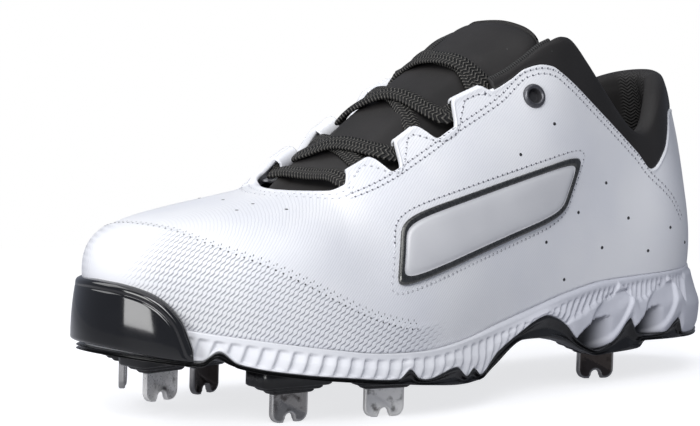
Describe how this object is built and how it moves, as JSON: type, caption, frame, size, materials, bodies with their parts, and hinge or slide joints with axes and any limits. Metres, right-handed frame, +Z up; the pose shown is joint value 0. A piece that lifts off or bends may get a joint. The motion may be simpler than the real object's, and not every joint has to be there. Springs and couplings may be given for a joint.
{
  "type": "softball cleat",
  "caption": "Low left softball cleat: hollow white upper with scalloped lacing tabs, padded collar and tongue, toe guard, ribbed midsole and a plate of pronged steel spikes.",
  "frame": {"origin": "middle of the shoe's outline on the floor it stands on", "axes": "+X to the toe, +Y to the outer side of the foot, +Z up"},
  "size_m": [0.2751, 0.0966, 0.127],
  "materials": {
    "upper": "smooth synthetic leather, textured at the toe",
    "collar": "padded woven cloth",
    "tongue": "padded woven cloth",
    "insole": "cloth-faced foam",
    "midsole": "satin moulded foam",
    "outsole": "moulded, half gloss",
    "toe_guard": "moulded, high gloss",
    "spike": "pressed and polished",
    "eyelet": "dark grey, rolled",
    "lace": "flat woven",
    "badge": "satin face with a dark rim"
  },
  "bodies": {
    "root": {"upper": "upper", "collar": "collar", "tongue": "tongue", "insole": "insole", "midsole": "midsole", "outsole": "outsole", "toe_guard": "toe_guard", "eyelet_outer": "eyelet", "eyelet_inner": "eyelet", "lace_bar_front": "lace", "lace_cross_front": "lace", "lace_cross_middle": "lace", "lace_bar_top": "lace", "side_badge": "badge", "spike_toe_outer": "spike", "spike_toe_inner": "spike", "spike_ball_outer": "spike", "spike_ball_inner": "spike", "spike_waist_outer": "spike", "spike_waist_inner": "spike", "spike_heel_outer": "spike", "spike_heel_inner": "spike"}
  },
  "joints": []
}
